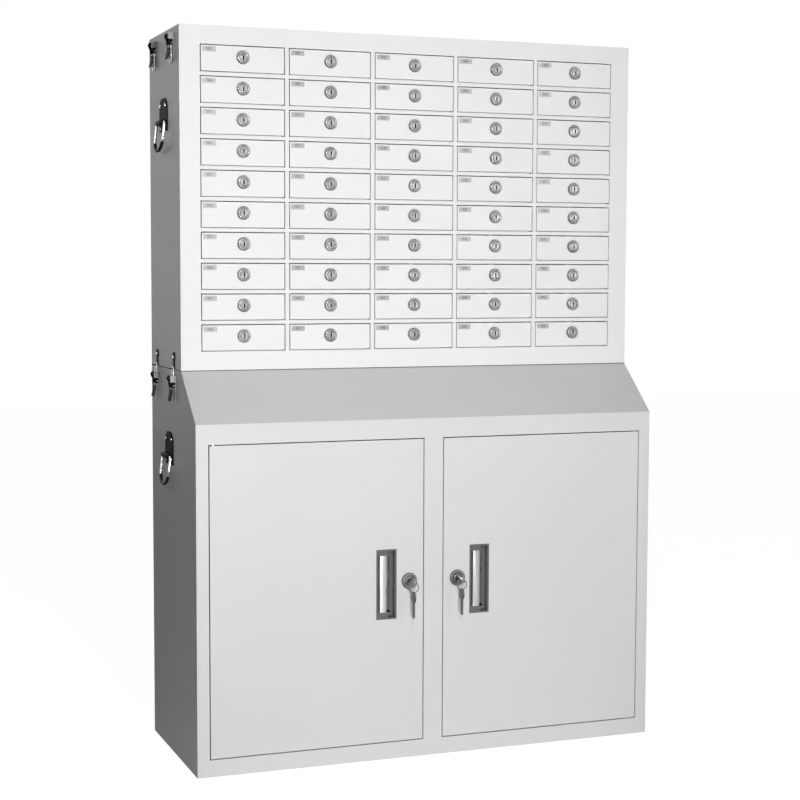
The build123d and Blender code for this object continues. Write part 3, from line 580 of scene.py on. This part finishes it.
def slab(low, high, rounding=0.0):
    """A plain block between two corners, its edges rounded if asked."""
    bm = bmesh.new()
    corners = [
        bm.verts.new((x, y, z))
        for x in (low[0], high[0])
        for y in (low[1], high[1])
        for z in (low[2], high[2])
    ]
    ends = ((0, 1, 3, 2), (4, 6, 7, 5))
    sides = ((0, 4, 5, 1), (2, 3, 7, 6), (0, 2, 6, 4), (1, 5, 7, 3))
    for loop in ends + sides:
        bm.faces.new([corners[k] for k in loop])
    bmesh.ops.recalc_face_normals(bm, faces=bm.faces)
    if rounding:
        bmesh.ops.bevel(
            bm, geom=bm.edges[:], offset=rounding, segments=2, profile=0.5, affect="EDGES"
        )
    mesh = bpy.data.meshes.new("slab")
    bm.to_mesh(mesh)
    bm.free()
    return mesh


def pressed_bar(width, height):
    """A bar bowed in front, its right edge turned in and cut away at the foot."""
    bm = bmesh.new()
    shares = sorted({*np.linspace(0, 1, BAR_STEPS), NOTCH_FROM})
    columns = []
    for share in shares:
        fall = max(0.0, (share - BAR_CROWN_AT) / (1 - BAR_CROWN_AT))
        rise = max(0.0, (BAR_CROWN_AT - share) / BAR_CROWN_AT)
        out = BAR_CROWN * (1 - rise**2) - BAR_TURN_IN * fall**BAR_TURN_CURVE
        foot = -height / 2 + (NOTCH if share > NOTCH_FROM else 0)
        levels = [height / 2, foot]
        if share == NOTCH_FROM:
            levels.insert(1, foot + NOTCH)
        columns.append(
            [
                [bm.verts.new((width * share, back - out, z)) for z in levels]
                for back in (0, BAR_SHEET)
            ]
        )
    for left, right in zip(columns, columns[1:]):
        for near, far in zip(left, right):
            bm.faces.new((*near[:2], *reversed(far))).smooth = True
        bm.faces.new([left[0][0], right[0][0], right[1][0], left[1][0]])
        bm.faces.new([left[0][1], right[0][-1], right[1][-1], left[1][1]])
    for column in (columns[0], columns[-1]):
        bm.faces.new((*column[0], *reversed(column[1])))
    front, back = columns[shares.index(NOTCH_FROM)]
    bm.faces.new((front[1], front[2], back[2], back[1]))
    bmesh.ops.recalc_face_normals(bm, faces=bm.faces)
    creased = [
        edge
        for edge in bm.edges
        if len(edge.link_faces) == 2 and edge.calc_face_angle() > CREASE
    ]
    bmesh.ops.split_edges(bm, edges=creased)
    mesh = bpy.data.meshes.new("bar")
    bm.to_mesh(mesh)
    bm.free()
    return mesh


def curve_mesh(curve):
    """The mesh of a text curve, and the curve is dropped."""
    holder = bpy.data.objects.new("holder", curve)
    mesh = bpy.data.meshes.new_from_object(holder)
    bpy.data.objects.remove(holder)
    bpy.data.curves.remove(curve)
    return mesh


def digits(text, height):
    """Plain raised digits in the X-Z plane, facing -Y, their middle at the origin."""
    curve = bpy.data.curves.new("digits", "FONT")
    curve.body = text
    curve.size = height / CAPITAL
    curve.align_x = "CENTER"
    curve.align_y = "CENTER"
    curve.extrude = DIGIT_RELIEF
    curve.resolution_u = 3
    mesh = curve_mesh(curve)
    mesh.transform(Matrix.Rotation(math.radians(90), 4, "X"))
    return mesh


class Assembly:
    """Collects meshes with finishes and makes one piece of them."""

    def __init__(self, name, body, slot):
        self.name, self.body, self.slot = name, body, slot
        self.bm = bmesh.new()
        self.names = []

    def add(self, mesh, matrix, name, keep=False):
        if name not in self.names:
            self.names.append(name)
        first = len(self.bm.faces)
        start = len(self.bm.verts)
        self.bm.from_mesh(mesh)
        self.bm.verts.ensure_lookup_table()
        self.bm.faces.ensure_lookup_table()
        bmesh.ops.transform(self.bm, matrix=matrix, verts=self.bm.verts[start:])
        for face in self.bm.faces[first:]:
            face.material_index = self.names.index(name)
        if not keep:
            bpy.data.meshes.remove(mesh)

    def make(self):
        mesh = bpy.data.meshes.new(self.name)
        self.bm.to_mesh(mesh)
        self.bm.free()
        if "custom_normal" in mesh.attributes:
            mesh.attributes.remove(mesh.attributes["custom_normal"])
        for name in self.names:
            mesh.materials.append(finish(name))
        obj = bpy.data.objects.new(self.name, mesh)
        bpy.context.scene.collection.objects.link(obj)
        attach(obj, self.body)
        return obj


# ---------------------------------------------------------------- cabinet
class LOCKER_OT_cabinet(bpy.types.Operator):
    """Paints the two boxes, their front frames, the shoulder and the shelf"""

    bl_idname = "locker.cabinet"
    bl_label = "Cabinet"

    def execute(self, context):
        look = context.scene.locker_finish
        # the base's pieces get the darker copy of the powder coat: painted shade
        for node in ("base_shell", "base_sloped_top", "base_shelf"):
            soften(paint(node, "body_paint"), look.sheet_edge)
        soften(paint("upper_shell", "upper_paint"), look.sheet_edge)
        # the frames' strips are welded flush, so they stay sharp and show no joints
        paint("base_front_frame", "body_paint")
        paint("upper_face_frame", "upper_paint")
        paint("drawer_shelves", "upper_paint")
        paint("drawer_dividers", "upper_paint")
        paint("door_pivot_pins", "rivet_bright")
        self.seam()
        return {"FINISHED"}

    def seam(self):
        """A dark strip where the drawer box stands on the base: a painted shadow line along
        the seam.
        """
        x, front, back = HALF_WIDTH, UPPER_FRONT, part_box("upper_shell")[1].y
        strip = Assembly("seam_strip", "cabinet", "black_hardware")
        for start, end in (
            ((-x - SEAM_PROUD, front - SEAM_PROUD), (x + SEAM_PROUD, front + SEAM_DEPTH)),
            ((-x - SEAM_PROUD, front + SEAM_DEPTH), (-x + SEAM_DEPTH, back)),
            ((x - SEAM_DEPTH, front + SEAM_DEPTH), (x + SEAM_PROUD, back)),
        ):
            strip.add(
                slab((*start, BASE_TOP + SEAM_FROM), (*end, BASE_TOP + SEAM_HEIGHT)),
                Matrix.Identity(4),
                "joint_strip",
            )
        strip.make()


# ---------------------------------------------------------------- doors
class LOCKER_OT_doors(bpy.types.Operator):
    """Paints the doors and dresses their recessed pulls"""

    bl_idname = "locker.doors"
    bl_label = "Doors and pulls"

    def execute(self, context):
        look = context.scene.locker_finish
        for side in ("left", "right"):
            # the doors get the base's darker copy of the powder coat: painted shade
            soften(paint(f"{side}_door_panel", "body_paint"), look.sheet_edge)
            self.pull(side)
        return {"FINISHED"}

    def pull(self, side):
        """The tray without its plain bar, a pressed bar in the bar's place, caps at its ends
        and a black block of painted shade at its foot.
        """
        node = f"{side}_door_pull"
        low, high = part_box(node)
        centre_z = (low.z + high.z) / 2
        plain_left = low.x + PULL_RIM + PLAIN_BAR_LEFT
        bar_half = (high.z - low.z) / 2 - PULL_END

        tray = Assembly(f"{side}_pull_tray", f"{side}_door", "pull_dark")
        tray.add(NODES[node].data, Matrix.Identity(4), "pull_tray", keep=True)
        plain = []
        for face in tray.bm.faces:
            x, y, z = face.calc_center_median()
            if (
                plain_left - CLOSE < x < plain_left + PLAIN_BAR_WIDTH + CLOSE
                and BASE_FRONT - CLOSE < y < BASE_FRONT + PLAIN_BAR_DEPTH
                and abs(z - centre_z) < bar_half + CLOSE
            ):
                plain.append(face)
        bmesh.ops.delete(tray.bm, geom=plain, context="FACES")
        tray_piece = tray.make()
        soften(tray_piece, TRIM_EDGE)
        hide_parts(node)

        bar = Assembly(f"{side}_pull_bar", f"{side}_door", "lock_chrome")
        left = plain_left + BAR_SHIFT
        right = left + BAR_WIDTH
        top, foot = centre_z + bar_half - BAR_TOP_GAP, centre_z - bar_half + BAR_FOOT_GAP
        place = Matrix.Translation((left, BASE_FRONT, (top + foot) / 2))
        bar.add(pressed_bar(BAR_WIDTH, top - foot), place, "pull_bar")
        deep = BASE_FRONT + CAP_DEPTH
        cap_left, cap_front = low.x + PULL_RIM, BASE_FRONT + TIGHT
        shade_left, shade_front = left + SHADE_BLOCK_FROM * BAR_WIDTH, BASE_FRONT + SHADE_BLOCK_BACK
        cap_right = right + CAP_PAST
        # caps over the bar's ends, and the black block at its foot, which is painted shade in
        # the recess's corner
        for near, far, name in (
            ((cap_left, cap_front, top), (cap_right, deep, top + CAP_TOP), "pull_tray"),
            ((cap_left, cap_front, foot - CAP_FOOT), (cap_right, deep, foot), "pull_tray"),
            ((shade_left, shade_front, foot), (right, deep, foot + SHADE_BLOCK_HEIGHT), "keyway"),
        ):
            bar.add(slab(near, far, CAP_ROUNDING), Matrix.Identity(4), name)
        bar.make()


# ---------------------------------------------------------------- door locks
class LOCKER_OT_door_locks(bpy.types.Operator):
    """Finishes the door locks, their keys and the key rings"""

    bl_idname = "locker.door_locks"
    bl_label = "Door locks and keys"

    def execute(self, context):
        for side in ("left", "right"):
            head = paint(f"{side}_door_lock", "door_lock")
            low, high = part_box(f"{side}_door_lock")
            x, z = (low.x + high.x) / 2, (low.z + high.z) / 2
            soften(head, LOCK_EDGE)
            self.key(side)
            self.ring(side)
            trim = Assembly(f"{side}_door_lock_trim", f"{side}_door", "lock_chrome")
            face = Matrix.Translation((x, BASE_FRONT - DOOR_LOCK_PROUD, z))
            for profile in (DOOR_LOCK_RIM, DOOR_LOCK_RING):
                trim.add(lathe(profile), face, "door_lock_rim")
            trim.make()
        return {"FINISHED"}

    def key(self, side):
        """Plug and cam dark, the key's bow lighter."""
        key = paint(f"{side}_door_key", "door_lock", "bow_nickel")
        choose(key, centres(key)[:, 1] < BASE_FRONT - DOOR_LOCK_PROUD - CLOSE, 1)

    def ring(self, side):
        """The split ring brighter than the spare key that hangs from it."""
        ring = paint(f"{side}_key_ring", "key_nickel", "ring_nickel")
        low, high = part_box(f"{side}_key_ring")
        where = centres(ring)
        middle = high.z - RING_RADIUS - RING_WIRE
        axis_y = high.y - RING_RADIUS - RING_WIRE
        radial = np.hypot(where[:, 1] - axis_y, where[:, 2] - middle)
        x = (low.x + high.x) / 2
        tube = np.hypot(radial - RING_RADIUS, where[:, 0] - x)
        choose(ring, tube < RING_WIRE + TIGHT, 1)


# ---------------------------------------------------------------- drawers
def drawer_places():
    """Row, column, number, lock's axis and lowest point of every drawer."""
    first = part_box("drawer_row1_column1")[0]
    column_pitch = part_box("drawer_row1_column2")[0].x - first.x
    row_pitch = first.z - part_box("drawer_row2_column1")[0].z
    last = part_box("drawer_row1_column1")[1]
    middle = (first.x + last.x) / 2
    for row in range(ROWS):
        for column in range(COLUMNS):
            yield (
                row,
                column,
                row * COLUMNS + column + 1,
                middle + column * column_pitch,
                first.z - row * row_pitch,
            )


class LOCKER_OT_drawers(bpy.types.Operator):
    """Finishes the drawers, their trays, locks and number plates"""

    bl_idname = "locker.drawers"
    bl_label = "Drawers"

    def execute(self, context):
        finishes = ("drawer_paint", "tray_zinc", "lock_chrome", "keyway", "number_plate")
        for node in [n for n in NODES if n.startswith("drawer_row")]:
            obj = paint(node, *finishes)
            low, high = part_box(node)
            self.sort(obj, (low.x + high.x) / 2, low.z + DRAWER_LOCK_UP)
            soften(obj, TRIM_EDGE, angle=SHARP)
        boxes = paint("locked_drawers", "drawer_paint", "tray_zinc")
        choose(boxes, centres(boxes)[:, 1] > UPPER_FRONT + DRAWER_TRAY_FROM + TIGHT, 1)
        soften(boxes, TRIM_EDGE, angle=SHARP)
        locks = paint("locked_drawer_locks", *finishes)
        for row, _, _, x, low_z in drawer_places():
            if row >= SLIDING_ROWS:
                self.sort(locks, x, low_z + DRAWER_LOCK_UP)
        soften(locks, SMALL_EDGE, angle=SHARP)
        return {"FINISHED"}

    def sort(self, obj, x, z):
        """Tray, lock, key slot with its painted shade, and plate of the drawer whose lock is
        at x, z.
        """
        where = centres(obj)
        across, up = where[:, 0] - x, where[:, 2] - z
        behind = where[:, 1] - UPPER_FRONT
        radial = np.hypot(across, up)
        half = DRAWER_FRONT_WIDTH / 2 + DRAWER_SIDE_SLACK
        near = (abs(across) < half) & (abs(up) < DRAWER_REACH)
        lock = (radial < DRAWER_LOCK_HEAD + 2 * CLOSE) & (behind < -TIGHT)
        barrel = (radial < BARREL_RADIUS) & (behind > BARREL_FROM)
        cam = (radial < CAM_REACH) & (abs(behind - CAM_BEHIND) < CAM_HALF)
        # the keyway's faces are painted black: painted shade inside the slot
        slot = (abs(across) < KEYWAY_HALF) & (radial < KEYWAY_REACH)
        slot &= (behind > -KEYWAY_PROUD) & (behind < KEYWAY_BEHIND)
        plate = (behind < -PLATE_FACE) & (across < -PLATE_FROM_LOCK)
        if obj.name == "locked_drawer_locks":
            choose(obj, near, 2)
        else:
            choose(obj, near & (behind > DRAWER_TRAY_FROM + TIGHT), 1)
        choose(obj, near & (lock | barrel | cam), 2)
        choose(obj, near & slot, 3)
        choose(obj, near & plate, 4)


class LOCKER_OT_drawer_trim(bpy.types.Operator):
    """Adds the lock bezels with their dark ring of painted shade, and the drawers' plain
    numbers
    """

    bl_idname = "locker.drawer_trim"
    bl_label = "Drawer trim"

    def execute(self, context):
        trims = [
            (lathe(DRAWER_LOCK_RIM), "lock_rim"),
            (lathe(DRAWER_LOCK_SHADE_RING), "lock_groove"),
            (lathe(DRAWER_LOCK_RING), "lock_rim"),
        ]
        shut = Assembly("locked_drawer_trim", "cabinet", "lock_chrome")
        for row, column, number, x, low_z in drawer_places():
            label = f"drawer_row{row + 1}_column{column + 1}"
            sliding = row < SLIDING_ROWS
            trim = Assembly(f"{label}_trim", label, "lock_chrome") if sliding else shut
            face = Matrix.Translation(
                (x, UPPER_FRONT - DRAWER_LOCK_PROUD, low_z + DRAWER_LOCK_UP)
            )
            for mesh, name in trims:
                trim.add(mesh, face, name, keep=True)
            middle = Matrix.Translation(
                (
                    x - DRAWER_FRONT_WIDTH / 2 + PLATE_INSET + PLATE_SIZE[0] / 2,
                    UPPER_FRONT - DIGIT_PROUD,
                    low_z + DRAWER_FRONT_TOP - PLATE_INSET - PLATE_SIZE[1] / 2,
                )
            )
            trim.add(digits(f"{number:03d}", DIGIT_HEIGHT), middle, "number_ink")
            if sliding:
                trim.make()
        shut.make()
        for mesh, _ in trims:
            bpy.data.meshes.remove(mesh)
        return {"FINISHED"}


# ---------------------------------------------------------------- handles
class LOCKER_OT_handles(bpy.types.Operator):
    """Finishes the carry handles: plates, rivets, bails and grips"""

    bl_idname = "locker.handles"
    bl_label = "Carry handles"

    def execute(self, context):
        plates = paint("carry_handle_plates", "black_steel", "rivet_bright")
        where = centres(plates)
        out = abs(where[:, 0]) - HALF_WIDTH
        near_axis = np.zeros(len(where), dtype=bool)
        for level in ("upper", "lower"):
            axis_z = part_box(f"{level}_right_handle_bail")[1].z - BAIL_WIRE
            near_axis |= abs(where[:, 2] - axis_z) < KNUCKLE_HALF
        choose(plates, (out > HANDLE_RIVETS_FROM) & ~near_axis, 1)
        soften(plates, LOCK_EDGE, angle=SHARP)
        for node in [n for n in NODES if n.endswith("handle_bail")]:
            bail = paint(node, "wire_chrome", "grip_black")
            self.grip(bail, node)
        return {"FINISHED"}

    def grip(self, bail, node):
        """The grip's faces, which lie further from the bail's middle line than the wire's."""
        low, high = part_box(node)
        where = centres(bail)
        # the bail leans out, so its faces are first turned back to the upright
        out = abs(where[:, 0]) - HALF_WIDTH - BAIL_AXIS_OUT
        up = where[:, 2] - (high.z - BAIL_WIRE)
        c, s = math.cos(BAIL_LEAN), math.sin(BAIL_LEAN)
        across, z = out * c + up * s, up * c - out * s
        y = abs(where[:, 1] - (low.y + high.y) / 2)
        # distance from the wire's middle line, which is a U with round corners
        corner_y, corner_z = BAIL_HALF - BAIL_BEND, BAIL_BEND - BAIL_DROP
        in_corner = (y > corner_y) & (z < corner_z)
        flat = np.where(
            in_corner,
            np.hypot(y - corner_y, z - corner_z) - BAIL_BEND,
            np.where(z < corner_z, z + BAIL_DROP, y - BAIL_HALF),
        )
        sleeve = np.hypot(flat, across) > BAIL_WIRE + GRIP_SKIN
        choose(bail, sleeve & (z < GRIP_RISE - BAIL_DROP + GRIP_SLACK), 1)


# ---------------------------------------------------------------- latches
class LOCKER_OT_latches(bpy.types.Operator):
    """Finishes the draw latches: plates, levers, wire loops and strikes"""

    bl_idname = "locker.latches"
    bl_label = "Draw latches"

    def execute(self, context):
        soften(paint("latch_plates", "latch_zinc"), THIN_EDGE, angle=SHARP)
        strikes = paint("latch_strikes", "black_steel", "rivet_bright")
        where = centres(strikes)
        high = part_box("latch_strikes")[1]
        rivet = abs(where[:, 2] - high.z + STRIKE_HEAD) < STRIKE_RIVET
        choose(strikes, rivet & (abs(where[:, 0]) - HALF_WIDTH > STRIKE_RIVET_FROM), 1)
        for node in [n for n in NODES if "latch_lever" in n]:
            soften(paint(node, "black_steel"), THIN_EDGE, angle=SHARP)
        for node in [n for n in NODES if "latch_loop" in n]:
            paint(node, "wire_chrome")
        return {"FINISHED"}


# ---------------------------------------------------------------- stage
def lamp(name, place, aim, size, power):
    """A square area lamp that points at a place."""
    data = bpy.data.lights.new(name, "AREA")
    data.energy = power
    data.size = size
    obj = bpy.data.objects.new(name, data)
    bpy.context.scene.collection.objects.link(obj)
    obj.location = place
    obj.rotation_euler = (Vector(aim) - Vector(place)).to_track_quat("-Z", "Y").to_euler()
    return obj


class LOCKER_OT_stage(bpy.types.Operator):
    """Sets the floor, the room's light, the lamps and the camera"""

    bl_idname = "locker.stage"
    bl_label = "Studio"

    def execute(self, context):
        studio = context.scene.locker_studio
        scene = context.scene
        scene.view_settings.view_transform = "Standard"
        self.floor()
        self.room(studio.ambient)
        for name, place, aim, size in LAMPS:
            lamp(name, place, aim, size, getattr(studio, f"{name}_power"))
        data = bpy.data.cameras.new("camera")
        data.lens = studio.lens
        data.sensor_width = SENSOR_WIDTH
        camera = bpy.data.objects.new("camera", data)
        scene.collection.objects.link(camera)
        camera.location = CAMERA_PLACE
        turn = Matrix.Rotation(math.radians(CAMERA_TURN), 4, "Z")
        tilt = Matrix.Rotation(math.radians(90 - CAMERA_DOWN), 4, "X")
        roll = Matrix.Rotation(math.radians(CAMERA_ROLL), 4, "Z")
        camera.rotation_euler = (turn @ tilt @ roll).to_euler()
        scene.camera = camera
        return {"FINISHED"}

    def floor(self):
        """A white floor that keeps the locker's shadow."""
        bm = bmesh.new()
        for x, y in ((-1, -1), (1, -1), (1, 1), (-1, 1)):
            bm.verts.new((x * FLOOR_HALF, y * FLOOR_HALF, -FLOOR_DROP))
        bm.faces.new(bm.verts)
        mesh = bpy.data.meshes.new("floor")
        bm.to_mesh(mesh)
        bm.free()
        floor = bpy.data.objects.new("floor", mesh)
        bpy.context.scene.collection.objects.link(floor)
        material = bpy.data.materials.new("white_floor")
        material.use_nodes = True
        tree = material.node_tree
        surface = tree.nodes["Principled BSDF"]
        surface.inputs["Base Color"].default_value = (FLOOR_TONE, FLOOR_TONE, FLOOR_TONE, 1)
        surface.inputs["Roughness"].default_value = FLOOR_ROUGHNESS
        surface.inputs["Specular IOR Level"].default_value = FLOOR_GLOSS
        glow = tree.nodes.new("ShaderNodeEmission")
        glow.inputs["Color"].default_value = (1, 1, 1, 1)
        glow.inputs["Strength"].default_value = FLOOR_GLOW
        mix = tree.nodes.new("ShaderNodeMixShader")
        path = tree.nodes.new("ShaderNodeLightPath")
        share = tree.nodes.new("ShaderNodeMath")
        share.operation = "MULTIPLY"
        share.inputs[1].default_value = FLOOR_GLOW_SHARE
        tree.links.new(path.outputs["Is Camera Ray"], share.inputs[0])
        tree.links.new(share.outputs[0], mix.inputs["Fac"])
        tree.links.new(surface.outputs["BSDF"], mix.inputs[1])
        tree.links.new(glow.outputs["Emission"], mix.inputs[2])
        tree.links.new(mix.outputs["Shader"], tree.nodes["Material Output"].inputs["Surface"])
        mesh.materials.append(material)

    def room(self, ambient):
        """White to the camera and in reflections, and plain light elsewhere."""
        world = bpy.data.worlds.new("room")
        bpy.context.scene.world = world
        world.use_nodes = True
        tree = world.node_tree
        background = tree.nodes["Background"]
        background.inputs["Color"].default_value = (1, 1, 1, 1)
        path = tree.nodes.new("ShaderNodeLightPath")
        seen = tree.nodes.new("ShaderNodeMath")
        seen.operation = "MAXIMUM"
        tree.links.new(path.outputs["Is Camera Ray"], seen.inputs[0])
        tree.links.new(path.outputs["Is Glossy Ray"], seen.inputs[1])
        more = tree.nodes.new("ShaderNodeMath")
        more.operation = "MAXIMUM"
        tree.links.new(seen.outputs[0], more.inputs[0])
        tree.links.new(path.outputs["Is Transmission Ray"], more.inputs[1])
        strength = tree.nodes.new("ShaderNodeMapRange")
        strength.inputs["To Min"].default_value = ambient
        strength.inputs["To Max"].default_value = 1.0
        tree.links.new(more.outputs[0], strength.inputs["Value"])
        tree.links.new(strength.outputs["Result"], background.inputs["Strength"])


# ---------------------------------------------------------------- panel
OPERATORS = (
    LOCKER_OT_cabinet,
    LOCKER_OT_doors,
    LOCKER_OT_door_locks,
    LOCKER_OT_drawers,
    LOCKER_OT_drawer_trim,
    LOCKER_OT_handles,
    LOCKER_OT_latches,
    LOCKER_OT_stage,
)


class LOCKER_PT_panel(bpy.types.Panel):
    """Sizes, colours and the locker's operators in the sidebar"""

    bl_label = "Phone locker"
    bl_idname = "LOCKER_PT_panel"
    bl_space_type = "VIEW_3D"
    bl_region_type = "UI"
    bl_category = "Locker"

    def draw(self, context):
        layout = self.layout
        for group in (context.scene.locker_finish, context.scene.locker_studio):
            box = layout.box()
            for name in group.__annotations__:
                box.prop(group, name)
        for operator in OPERATORS:
            layout.operator(operator.bl_idname)


CLASSES = (LockerFinish, LockerStudio, *OPERATORS, LOCKER_PT_panel)


def register():
    for cls in CLASSES:
        bpy.utils.register_class(cls)
    bpy.types.Scene.locker_finish = PointerProperty(type=LockerFinish)
    bpy.types.Scene.locker_studio = PointerProperty(type=LockerStudio)


def unregister():
    del bpy.types.Scene.locker_finish
    del bpy.types.Scene.locker_studio
    for cls in reversed(CLASSES):
        bpy.utils.unregister_class(cls)


def main():
    register()
    for operator in OPERATORS:
        group, name = operator.bl_idname.split(".")
        if getattr(getattr(bpy.ops, group), name)() != {"FINISHED"}:
            raise RuntimeError(f"{operator.bl_label} did not finish")


if __name__ == "__main__":
    main()
